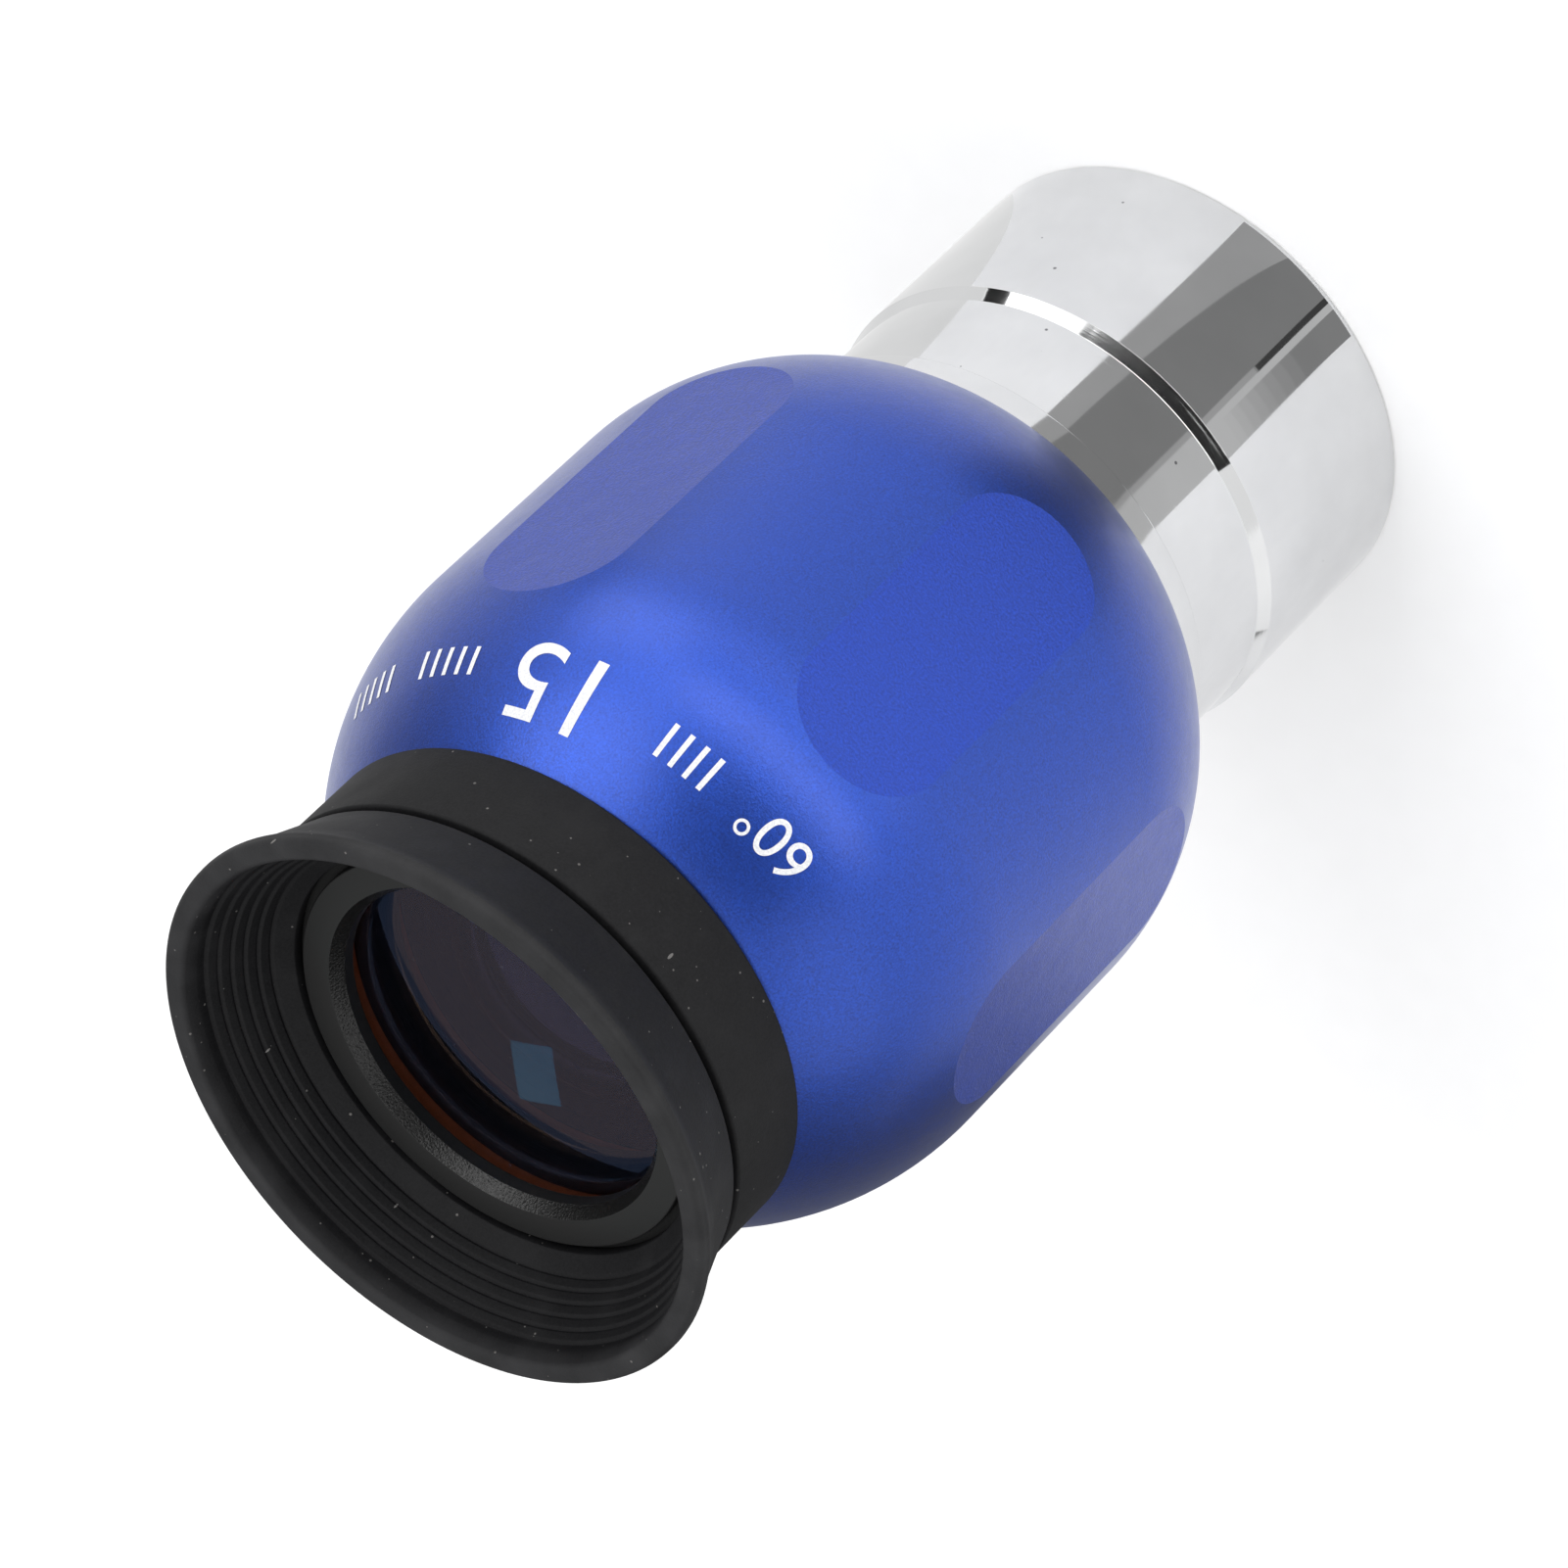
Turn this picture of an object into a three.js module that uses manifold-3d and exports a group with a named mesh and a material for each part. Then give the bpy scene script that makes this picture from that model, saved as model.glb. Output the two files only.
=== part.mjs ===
// A 1.25 inch telescope eyepiece, in millimetres.
// The optical axis is +Z. The origin is the centre of the barrel's open end, which the eyepiece
// stands on, and the eye end is up. Every piece is turned, so each one is a profile of
// [radius, height] points revolved about the axis. The six grip flats are milled afterwards.
import * as THREE from "three";
import { mergeVertices } from "three/addons/utils/BufferGeometryUtils.js";
import Module from "manifold-3d";

const wasm = await Module();
wasm.setup();

// How finely round pieces are divided.
const OUTER_SIDES = 32;
const INNER_SIDES = 24;
const LENS_STEPS = 4;
const SHOULDER_STEPS = 7;

// Clearances between pieces that are fitted to each other.
const SLIDE_GAP = 0.1;
const REST_GAP = 0.05;
const CEMENT_GAP = 0.05;

// Barrel, or nosepiece: the 1.25 inch standard gives its outer radius.
const BARREL_R = 15.875;
const BARREL_EDGE = 0.3;
const UNDERCUT_R = 15.45;
const UNDERCUT_START_Z = 14.3;
const UNDERCUT_CONE_Z = 15.25;
const COLLAR_BOTTOM_Z = 22.2;
const COLLAR_TOP_Z = 24.45;
const BARREL_TOP_Z = 29.3;
const BARREL_THREAD_R = 14.4;
const BARREL_THREAD_DEPTH = 0.45;
const BARREL_THREAD_PITCH = 0.75;
const BARREL_THREAD_RIDGES = 4;
const BARREL_THREAD_Z = 25.4;
const BARREL_BORE_R = 12.9;
const BARREL_MOUTH_R = 13.6;
const BARREL_LIP_R = 12.2;
const BARREL_LIP_Z = [9.5, 10.8];
const FILTER_THREAD_R = 14.25;
const FILTER_THREAD_DEPTH = 0.33;
const FILTER_THREAD_PITCH = 0.6;
const FILTER_THREAD_RIDGES = 5;
const FILTER_THREAD_Z = 1.2;
const FILTER_THREAD_TOP_Z = 4.6;
const FILTER_LEAD_IN_R = 14.4;

// Body shell: a round-shouldered cylinder with a neck for the eyecup. The barrel's collar sits in a
// shallow seat, and the land around the seat is the stop that rests on a drawtube.
const BODY_R = 22;
const LOWER_ARC_R = 17;
const LOWER_ARC_Z = 37;
const UPPER_ARC_R = 20;
const UPPER_ARC_Z = 52;
const BODY_BOTTOM_Z = 24.4;
const BODY_TOP_Z = 65.7;
const COLLAR_SEAT_R = 15.925;
const COLLAR_SEAT_Z = 24.5;
const NECK_R = 15.1;
const NECK_TOP_Z = 71.2;
const NECK_GROOVE_R = 14.5;
const NECK_GROOVE_Z = [67.6, 69.0];
const BODY_THREAD_R = 14.6;
const BODY_THREAD_TOP_Z = 29.6;
const BODY_INNER_FLANGE_R = 11.5;
const CELL_SEAT_Z = 32.9;
const BODY_BORE_R = 13;
const FLAT_DISTANCE = 21.42;
const FLAT_COUNT = 6;
const FIRST_FLAT_ANGLE = -Math.PI / 2;

// Rubber eyecup, one moulding that is split where it folds.
const SLEEVE_R = 16.9;
const SLEEVE_BOTTOM_Z = 65.85;
const SLEEVE_TOP_Z = 71.85;
const SLEEVE_BEVEL = 0.15;
const FOLD_GROOVE_R = 16.35;
const FOLD_BEVEL_Z = 0.3;
const WEB_R = 13.95;
const SKIRT_BOTTOM_Z = 72.05;
const SKIRT_TOP_Z = 76.3;
const SKIRT_INNER_BOTTOM_R = 14.15;
const SKIRT_OUTER_BOTTOM_R = 16.75;
const SKIRT_OUTER_TOP_R = 18.35;
const RIBS_BOTTOM = { r: 15.2, z: 73.3 };
const RIBS_TOP = { r: 16.7, z: SKIRT_TOP_Z };
const RIB_COUNT = 5;
const RIB_DEPTH = 0.3;
const RIB_UNDERCUT = 0.1;
const RIM_BOTTOM_Z = 76.6;
const RIM_SIDE_Z = 77.5;
const RIM_TOP_Z = 78;
const RIM_R = 18.8;
const RIM_BOTTOM_R = 18.5;
const RIM_INNER_R = 17.3;
const RIM_INNER_BOTTOM_R = 16.85;
const RIM_BEVEL = 0.4;

// Eye lens retaining ring.
const RING_R = 13.4;
const RING_EDGE = 0.1;
const RING_TOP_Z = 72;
const RING_BORE_R = 10.95;
const RING_CHAMFER_R = 11.5;
const RING_CHAMFER_Z = 71.2;
const RING_BOTTOM_Z = 70.35;

// Upper lens cell, and what is stacked in it. A lens is two surfaces, lower and upper, each with the
// height of its vertex on the axis and a radius of curvature.
const CELL_R = 12.85;
const CELL_TOP_Z = 70.2;
const CELL_BORE_R = 12.1;
const CELL_SHOULDER_R = 10.8;
const CELL_SHOULDER_Z = [47, 50.7];
const STOP_BORE_R = 12;
const STOP_Z = [46.2, 46.9];
const STOP_R = 5.8;
const STOP_BEVEL = 0.5;
const STOP_RING_Z = [44.8, 46.1];
const STOP_RING_R = 9.5;
const LENS_R = 12;
const CROWN_BOTTOM_Z = 57.1;
const CROWN_BOTTOM_CURVE = -22;
const EYE_LENS = [{ z: 66.3, radius: 400 }, { z: 70.9, radius: 90 }];
const UPPER_SPACER = { innerR: 11, z: [62.85, 66.05] };
const DOUBLET_CROWN = [{ z: CROWN_BOTTOM_Z, radius: CROWN_BOTTOM_CURVE }, { z: 65, radius: 28 }];
const DOUBLET_FLINT = [
  { z: 55.5, radius: 400 },
  { z: CROWN_BOTTOM_Z - CEMENT_GAP, radius: CROWN_BOTTOM_CURVE },
];
const LOWER_SPACER = { innerR: 10.6, z: [53.65, 55.2] };
const MIDDLE_LENS = [{ z: 49.1, radius: -35 }, { z: 55, radius: 40 }];

// Field lens group, carried by the barrel.
const FIELD_CELL_R = 12.75;
const FIELD_CELL_Z = [11, 27.5];
const FIELD_SEAT_Z = 19.8;
const FIELD_BORE_R = 10.1;
const FIELD_TOP_BORE_R = 9;
const FIELD_LENS_R = 10;
const FIELD_JOIN_Z = 16.4;
const FIELD_JOIN_CURVE = -26;
const FIELD_FLINT = [{ z: 14.92, radius: 30 }, { z: FIELD_JOIN_Z, radius: FIELD_JOIN_CURVE }];
const FIELD_CROWN = [
  { z: FIELD_JOIN_Z + CEMENT_GAP, radius: FIELD_JOIN_CURVE },
  { z: 20.67, radius: 40 },
];
const FIELD_RING_Z = [11.4, 13.1];

const MATERIALS = {
  blue: { color: 0x2d46b4, roughness: 0.42, metalness: 0.85 },
  chrome: { color: 0xd8d9da, roughness: 0.06, metalness: 1 },
  blackMetal: { color: 0x1b1b1c, roughness: 0.55, metalness: 0.4 },
  rubber: { color: 0x242427, roughness: 0.8, metalness: 0 },
  glass: { color: 0x5a4a78, roughness: 0.03, metalness: 0, transparent: true, opacity: 0.4 },
};

const eyepiece = new THREE.Group();
eyepiece.name = "eyepiece";

function addPiece(name, geometry, look) {
  const mesh = new THREE.Mesh(geometry, new THREE.MeshStandardMaterial(MATERIALS[look]));
  mesh.name = name;
  eyepiece.add(mesh);
}

// Revolves a list of [radius, height] points, taken anticlockwise round the section.
function turned(profile, sides) {
  const points = profile.map(([radius, height]) => new THREE.Vector2(radius, height));
  const onAxis = profile[0][0] === 0 && profile.at(-1)[0] === 0;
  if (!onAxis) points.push(points[0].clone());
  const geometry = new THREE.LatheGeometry(points, sides);
  geometry.rotateX(Math.PI / 2);
  return geometry;
}

// Points of a circular arc in the section plane. Angles run from the outward radius towards +Z.
function arc(centreR, centreZ, radius, fromAngle, toAngle, steps) {
  const points = [];
  for (let i = 0; i <= steps; i += 1) {
    const angle = fromAngle + ((toAngle - fromAngle) * i) / steps;
    points.push([centreR + radius * Math.cos(angle), centreZ + radius * Math.sin(angle)]);
  }
  return points;
}

// Angle at which an arc centred at `centreZ` reaches the height `z`.
function angleAtHeight(z, centreZ, radius) {
  return Math.asin((z - centreZ) / radius);
}

// A thread in section: ridges of equal pitch that start and end at the root radius.
function ridges(startZ, pitch, count, crest, root) {
  const points = [[root, startZ]];
  for (let i = 0; i < count; i += 1) {
    points.push([crest, startZ + (i + 0.5) * pitch], [root, startZ + (i + 1) * pitch]);
  }
  return points;
}

// A washer or tube between two radii and two heights.
function tube(innerR, outerR, [lowZ, highZ]) {
  return [
    [innerR, lowZ],
    [outerR, lowZ],
    [outerR, highZ],
    [innerR, highZ],
  ];
}

// A spherical lens surface from the axis to the edge. A positive radius puts the edge below the
// vertex, a negative one above it.
function surface({ z, radius }, edgeR) {
  const points = [];
  for (let i = 0; i <= LENS_STEPS; i += 1) {
    const r = (edgeR * i) / LENS_STEPS;
    const sag = Math.abs(radius) - Math.sqrt(radius * radius - r * r);
    points.push([r, z - Math.sign(radius) * sag]);
  }
  return points;
}

function addLens(name, edgeR, [bottom, top]) {
  const profile = [...surface(bottom, edgeR), ...surface(top, edgeR).reverse()];
  addPiece(name, turned(profile, INNER_SIDES), "glass");
}

function addTube(name, innerR, outerR, heights) {
  addPiece(name, turned(tube(innerR, outerR, heights), INNER_SIDES), "blackMetal");
}

function toManifold(geometry) {
  const bare = geometry.clone();
  bare.deleteAttribute("normal");
  bare.deleteAttribute("uv");
  const merged = mergeVertices(bare, 1e-4);
  return new wasm.Manifold(
    new wasm.Mesh({
      numProp: 3,
      vertProperties: new Float32Array(merged.attributes.position.array),
      triVerts: new Uint32Array(merged.index.array),
    }),
  );
}

function toGeometry(solid) {
  const mesh = solid.getMesh();
  const geometry = new THREE.BufferGeometry();
  geometry.setAttribute("position", new THREE.BufferAttribute(mesh.vertProperties, 3));
  geometry.setIndex(new THREE.BufferAttribute(mesh.triVerts, 1));
  geometry.computeVertexNormals();
  return geometry;
}

function addBarrel() {
  const filterThread = ridges(
    FILTER_THREAD_Z,
    FILTER_THREAD_PITCH,
    FILTER_THREAD_RIDGES,
    FILTER_THREAD_R - FILTER_THREAD_DEPTH,
    FILTER_THREAD_R,
  );
  const rootR = BARREL_THREAD_R - BARREL_THREAD_DEPTH;
  const neckThread = ridges(
    BARREL_THREAD_Z,
    BARREL_THREAD_PITCH,
    BARREL_THREAD_RIDGES,
    BARREL_THREAD_R,
    rootR,
  );
  const profile = [
    [FILTER_LEAD_IN_R, 0],
    [BARREL_R - BARREL_EDGE, 0],
    [BARREL_R, BARREL_EDGE],
    [BARREL_R, UNDERCUT_START_Z],
    [UNDERCUT_R, UNDERCUT_CONE_Z],
    [UNDERCUT_R, COLLAR_BOTTOM_Z],
    [BARREL_R, COLLAR_BOTTOM_Z],
    [BARREL_R, COLLAR_TOP_Z],
    [rootR, COLLAR_TOP_Z],
    ...neckThread,
    [rootR, BARREL_TOP_Z],
    [BARREL_BORE_R, BARREL_TOP_Z],
    [BARREL_BORE_R, BARREL_LIP_Z[1]],
    [BARREL_LIP_R, BARREL_LIP_Z[1]],
    [BARREL_LIP_R, BARREL_LIP_Z[0]],
    [BARREL_MOUTH_R, BARREL_LIP_Z[0]],
    [BARREL_MOUTH_R, FILTER_THREAD_TOP_Z],
    [FILTER_THREAD_R, FILTER_THREAD_TOP_Z],
    ...filterThread.reverse(),
  ];
  addPiece("barrel", turned(profile, OUTER_SIDES), "chrome");
}

function addBodyShell() {
  const lowerCentreR = BODY_R - LOWER_ARC_R;
  const upperCentreR = BODY_R - UPPER_ARC_R;
  const lowerStart = angleAtHeight(BODY_BOTTOM_Z, LOWER_ARC_Z, LOWER_ARC_R);
  const upperEnd = angleAtHeight(BODY_TOP_Z, UPPER_ARC_Z, UPPER_ARC_R);
  const profile = [
    [BODY_THREAD_R, COLLAR_SEAT_Z],
    [COLLAR_SEAT_R, COLLAR_SEAT_Z],
    [COLLAR_SEAT_R, BODY_BOTTOM_Z],
    ...arc(lowerCentreR, LOWER_ARC_Z, LOWER_ARC_R, lowerStart, 0, SHOULDER_STEPS),
    ...arc(upperCentreR, UPPER_ARC_Z, UPPER_ARC_R, 0, upperEnd, SHOULDER_STEPS),
    [NECK_R, BODY_TOP_Z],
    [NECK_R, NECK_GROOVE_Z[0]],
    [NECK_GROOVE_R, NECK_GROOVE_Z[0]],
    [NECK_GROOVE_R, NECK_GROOVE_Z[1]],
    [NECK_R, NECK_GROOVE_Z[1]],
    [NECK_R, NECK_TOP_Z],
    [BODY_BORE_R, NECK_TOP_Z],
    [BODY_BORE_R, CELL_SEAT_Z],
    [BODY_INNER_FLANGE_R, CELL_SEAT_Z],
    [BODY_INNER_FLANGE_R, BODY_THREAD_TOP_Z],
    [BODY_THREAD_R, BODY_THREAD_TOP_Z],
  ];
  const cutterDepth = 4;
  const cutterWidth = 30;
  const cutterHeight = BODY_TOP_Z - BODY_BOTTOM_Z;
  let solid = toManifold(turned(profile, OUTER_SIDES));
  for (let i = 0; i < FLAT_COUNT; i += 1) {
    const cutter = new THREE.BoxGeometry(cutterDepth, cutterWidth, cutterHeight);
    cutter.translate(FLAT_DISTANCE + cutterDepth / 2, 0, (BODY_TOP_Z + BODY_BOTTOM_Z) / 2);
    cutter.rotateZ(FIRST_FLAT_ANGLE + (i * 2 * Math.PI) / FLAT_COUNT);
    solid = solid.subtract(toManifold(cutter));
  }
  addPiece("body_shell", toGeometry(solid), "blue");
}

// The sleeve grips the neck with a bead that sits in the neck's groove.
function addEyecupSleeve() {
  const innerR = NECK_R + SLIDE_GAP;
  const beadR = NECK_GROOVE_R + SLIDE_GAP;
  const profile = [
    [innerR, SLEEVE_BOTTOM_Z],
    [SLEEVE_R - SLEEVE_BEVEL, SLEEVE_BOTTOM_Z],
    [SLEEVE_R, SLEEVE_BOTTOM_Z + SLEEVE_BEVEL],
    [SLEEVE_R, SLEEVE_TOP_Z - FOLD_BEVEL_Z],
    [FOLD_GROOVE_R, SLEEVE_TOP_Z],
    [WEB_R, SLEEVE_TOP_Z],
    [WEB_R, NECK_TOP_Z + SLIDE_GAP],
    [innerR, NECK_TOP_Z + SLIDE_GAP],
    [innerR, NECK_GROOVE_Z[1] - SLIDE_GAP],
    [beadR, NECK_GROOVE_Z[1] - SLIDE_GAP],
    [beadR, NECK_GROOVE_Z[0] + SLIDE_GAP],
    [innerR, NECK_GROOVE_Z[0] + SLIDE_GAP],
  ];
  addPiece("eyecup_sleeve", turned(profile, OUTER_SIDES), "rubber");
}

// The skirt flares towards the rim, and is stepped inside with shallow ribs.
function addEyecupSkirt() {
  const ribs = [];
  for (let i = RIB_COUNT - 1; i >= 0; i -= 1) {
    const share = i / RIB_COUNT;
    const r = THREE.MathUtils.lerp(RIBS_BOTTOM.r, RIBS_TOP.r, share);
    const z = THREE.MathUtils.lerp(RIBS_BOTTOM.z, RIBS_TOP.z, share);
    ribs.push([r + RIB_DEPTH, z + RIB_UNDERCUT], [r, z]);
  }
  const profile = [
    [SKIRT_INNER_BOTTOM_R, SKIRT_BOTTOM_Z],
    [FOLD_GROOVE_R, SKIRT_BOTTOM_Z],
    [SKIRT_OUTER_BOTTOM_R, SKIRT_BOTTOM_Z + FOLD_BEVEL_Z],
    [SKIRT_OUTER_TOP_R, SKIRT_TOP_Z],
    [RIBS_TOP.r, RIBS_TOP.z],
    ...ribs,
  ];
  addPiece("eyecup_skirt", turned(profile, OUTER_SIDES), "rubber");
}

function addEyecupRim() {
  const profile = [
    [RIM_INNER_BOTTOM_R, RIM_BOTTOM_Z],
    [RIM_BOTTOM_R, RIM_BOTTOM_Z],
    [RIM_R, RIM_SIDE_Z],
    [RIM_R - RIM_BEVEL, RIM_TOP_Z],
    [RIM_INNER_R + RIM_BEVEL, RIM_TOP_Z],
    [RIM_INNER_R, RIM_TOP_Z - RIM_BEVEL],
  ];
  addPiece("eyecup_rim", turned(profile, OUTER_SIDES), "rubber");
}

function addRetainingRing() {
  const threadR = BODY_BORE_R - SLIDE_GAP;
  const flangeZ = NECK_TOP_Z + REST_GAP;
  const profile = [
    [RING_BORE_R, RING_BOTTOM_Z],
    [threadR, RING_BOTTOM_Z],
    [threadR, flangeZ],
    [RING_R, flangeZ],
    [RING_R, RING_TOP_Z - RING_EDGE],
    [RING_R - RING_EDGE, RING_TOP_Z],
    [RING_CHAMFER_R, RING_TOP_Z],
    [RING_BORE_R, RING_CHAMFER_Z],
  ];
  addPiece("eye_lens_retaining_ring", turned(profile, OUTER_SIDES), "blackMetal");
}

function addLensCell() {
  const bottomZ = CELL_SEAT_Z + REST_GAP;
  const profile = [
    [STOP_BORE_R, bottomZ],
    [CELL_R, bottomZ],
    [CELL_R, CELL_TOP_Z],
    [CELL_BORE_R, CELL_TOP_Z],
    [CELL_BORE_R, CELL_SHOULDER_Z[1]],
    [CELL_SHOULDER_R, CELL_SHOULDER_Z[1]],
    [CELL_SHOULDER_R, CELL_SHOULDER_Z[0]],
    [STOP_BORE_R, CELL_SHOULDER_Z[0]],
  ];
  addPiece("lens_cell", turned(profile, OUTER_SIDES), "blackMetal");
}

// The field stop is a thin washer with a sharp upper edge, held by a ring below it.
function addFieldStop() {
  const outerR = STOP_BORE_R - SLIDE_GAP;
  const profile = [
    [STOP_R + STOP_BEVEL, STOP_Z[0]],
    [outerR, STOP_Z[0]],
    [outerR, STOP_Z[1]],
    [STOP_R, STOP_Z[1]],
  ];
  addPiece("field_stop", turned(profile, INNER_SIDES), "blackMetal");
  addTube("field_stop_ring", STOP_RING_R, outerR, STOP_RING_Z);
}

function addUpperStack() {
  addLensCell();
  addLens("eye_lens", LENS_R, EYE_LENS);
  addTube("upper_spacer", UPPER_SPACER.innerR, LENS_R, UPPER_SPACER.z);
  addLens("doublet_crown", LENS_R, DOUBLET_CROWN);
  addLens("doublet_flint", LENS_R, DOUBLET_FLINT);
  addTube("lower_spacer", LOWER_SPACER.innerR, LENS_R, LOWER_SPACER.z);
  addLens("middle_lens", LENS_R, MIDDLE_LENS);
  addFieldStop();
}

function addFieldGroup() {
  const cell = [
    [FIELD_BORE_R, FIELD_CELL_Z[0]],
    [FIELD_CELL_R, FIELD_CELL_Z[0]],
    [FIELD_CELL_R, FIELD_CELL_Z[1]],
    [FIELD_TOP_BORE_R, FIELD_CELL_Z[1]],
    [FIELD_TOP_BORE_R, FIELD_SEAT_Z],
    [FIELD_BORE_R, FIELD_SEAT_Z],
  ];
  addPiece("field_lens_cell", turned(cell, OUTER_SIDES), "blackMetal");
  addLens("field_flint", FIELD_LENS_R, FIELD_FLINT);
  addLens("field_crown", FIELD_LENS_R, FIELD_CROWN);
  addTube("field_lens_retaining_ring", FIELD_TOP_BORE_R, FIELD_LENS_R, FIELD_RING_Z);
}

addBarrel();
addBodyShell();
addEyecupSleeve();
addEyecupSkirt();
addEyecupRim();
addRetainingRing();
addUpperStack();
addFieldGroup();

export default eyepiece;
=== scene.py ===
"""A 1.25 inch telescope eyepiece that stands on its barrel, on a pale floor.

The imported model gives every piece's place and size. Each visible piece is a finely turned mesh that
stands for the CAD node of the same name. Outlines are in millimetres, as (radius, height) points
round the optical axis, and the meshes are in metres.
"""

import math

import bmesh
import bpy
from mathutils import Matrix, Vector


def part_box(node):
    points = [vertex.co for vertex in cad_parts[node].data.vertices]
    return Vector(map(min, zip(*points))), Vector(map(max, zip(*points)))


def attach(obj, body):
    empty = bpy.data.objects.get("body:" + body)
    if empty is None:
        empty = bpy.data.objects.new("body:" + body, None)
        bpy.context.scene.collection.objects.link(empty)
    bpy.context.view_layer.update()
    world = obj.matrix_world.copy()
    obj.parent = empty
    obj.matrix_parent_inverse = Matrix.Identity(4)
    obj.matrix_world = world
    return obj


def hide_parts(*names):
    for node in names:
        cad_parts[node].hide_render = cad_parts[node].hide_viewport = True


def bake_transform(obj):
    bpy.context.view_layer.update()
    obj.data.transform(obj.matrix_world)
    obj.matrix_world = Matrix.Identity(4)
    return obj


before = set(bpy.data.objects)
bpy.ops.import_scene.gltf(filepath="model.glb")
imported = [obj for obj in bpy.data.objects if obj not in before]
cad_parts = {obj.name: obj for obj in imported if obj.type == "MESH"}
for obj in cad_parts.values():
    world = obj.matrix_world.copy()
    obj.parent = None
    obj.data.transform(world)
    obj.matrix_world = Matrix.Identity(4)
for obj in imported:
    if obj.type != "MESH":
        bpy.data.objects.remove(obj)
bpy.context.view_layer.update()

MM = 0.001

# Camera: where it looks, and from where. Azimuth 0 looks along +Y, and roll leans the picture's up
# direction from upright towards its right.
CAMERA_TARGET = (-0.6, 0.0, 43.65)
CAMERA_DISTANCE = 446.8
CAMERA_AZIMUTH = 3.7
CAMERA_ELEVATION = 37.2
CAMERA_ROLL = 134.4
CAMERA_LENS = 174.7
CAMERA_SENSOR = 36

# How finely round pieces are divided, and the angle that makes an edge sharp.
SEGMENTS = 192
ARC_STEP = math.radians(9)
SHARP_ANGLE = math.radians(30)

# Threads: half widths of the ridge's foot and crest in parts of the pitch, and how far its foot is
# sunk into the core.
THREAD_FOOT = 0.46
THREAD_CREST = 0.07
THREAD_SINK = 0.06

# Barrel.
UNDERCUT_R = 15.45
UNDERCUT_START_Z = 14.35
UNDERCUT_CONE_Z = 15.25
COLLAR_BOTTOM_Z = 22.2
COLLAR_TOP_Z = 24.45
RELIEF_DEPTH = 0.12
BARREL_THREAD_R = 14.4
BARREL_THREAD_DEPTH = 0.45
BARREL_THREAD_PITCH = 0.75
BARREL_THREAD_Z = 25.2
BARREL_THREAD_TURNS = 4.6
BARREL_BORE_R = 12.9
BARREL_MOUTH_R = 13.6
BARREL_LIP_R = 12.2
BARREL_LIP_Z = (9.5, 10.8)
FILTER_THREAD_R = 14.25
FILTER_THREAD_DEPTH = 0.33
FILTER_THREAD_PITCH = 0.6
FILTER_THREAD_Z = 0.7
FILTER_THREAD_TURNS = 5.5
FILTER_THREAD_TOP_Z = 4.6
FILTER_LEAD_IN_R = 14.4

# Body shell.
LOWER_ARC_R = 17
LOWER_ARC_Z = 37
UPPER_ARC_R = 20
UPPER_ARC_Z = 52
BODY_TOP_Z = 65.7
COLLAR_SEAT_R = 15.925
COLLAR_SEAT_Z = 24.5
NECK_R = 15.1
NECK_GROOVE_R = 14.5
NECK_GROOVE_Z = (67.6, 69.0)
BODY_THREAD_R = 14.6
BODY_THREAD_TOP_Z = 29.6
BODY_INNER_FLANGE_R = 11.5
CELL_SEAT_Z = 32.9
BODY_BORE_R = 13
FLAT_COUNT = 6
FIRST_FLAT_ANGLE = math.radians(-90)

# Eyecup. Pairs are (radius, height), or steps in radius and in height.
SLIDE_GAP = 0.1
FOLD_GROOVE_R = 16.35
WEB_R = 13.95
RIBS_BOTTOM = (15.2, 73.45)
RIBS_TOP = (16.85, 76.2)
RIB_COUNT = 5
RIB_DEPTH = 0.26
GROOVE_LOWER_FLANK = 0.12
GROOVE_UPPER_FLANK = 0.18
FLARE_END = (0.62, 0.3)
FLARE_ROUNDING = 3
LIP_EDGE_HEIGHT = 0.75
LIP_FACE_WIDTH = 0.55
LIP_BEVEL = (0.3, 0.75)
# Height in millimetres where the painted highlight on the eyecup's lip reaches full strength; it fades
# in over the millimetre below.
LIP_HIGHLIGHT_Z = 77.6

# Retaining ring.
RING_BORE_R = 10.95
RING_CHAMFER_R = 11.5
RING_CHAMFER_Z = 71.2

# Lens cells, lenses and spacers. A lens is its lower and upper surface, each with the height of its
# vertex on the axis and a radius of curvature, which is positive where the edge is below the vertex.
CELL_BORE_R = 12.1
CELL_SHOULDER_R = 10.8
CELL_SHOULDER_Z = (47, 50.7)
STOP_BORE_R = 12
STOP_R = 5.8
STOP_BEVEL = 0.5
LENSES = {
    "eye_lens": ((66.3, 400), (70.9, 90)),
    "doublet_crown": ((57.1, -22), (65, 28)),
    "doublet_flint": ((55.5, 400), (57.05, -22)),
    "middle_lens": ((49.1, -35), (55, 40)),
    "field_flint": ((14.92, 30), (16.4, -26)),
    "field_crown": ((16.45, -26), (20.67, 40)),
}
CEMENTED_CURVES = (-22, -26)
UPPER_SPACER_R = 11
LOWER_SPACER_R = 10.6
STOP_RING_R = 9.5
FIELD_BORE_R = 10.1
FIELD_TOP_BORE_R = 9
FIELD_SEAT_Z = 19.8


# ---------------------------------------------------------------- outlines and meshes


def reach(node):
    """A turned node's outer radius, lowest height and highest height, in millimetres."""
    low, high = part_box(node)
    return high.x / MM, low.z / MM, high.z / MM


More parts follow.
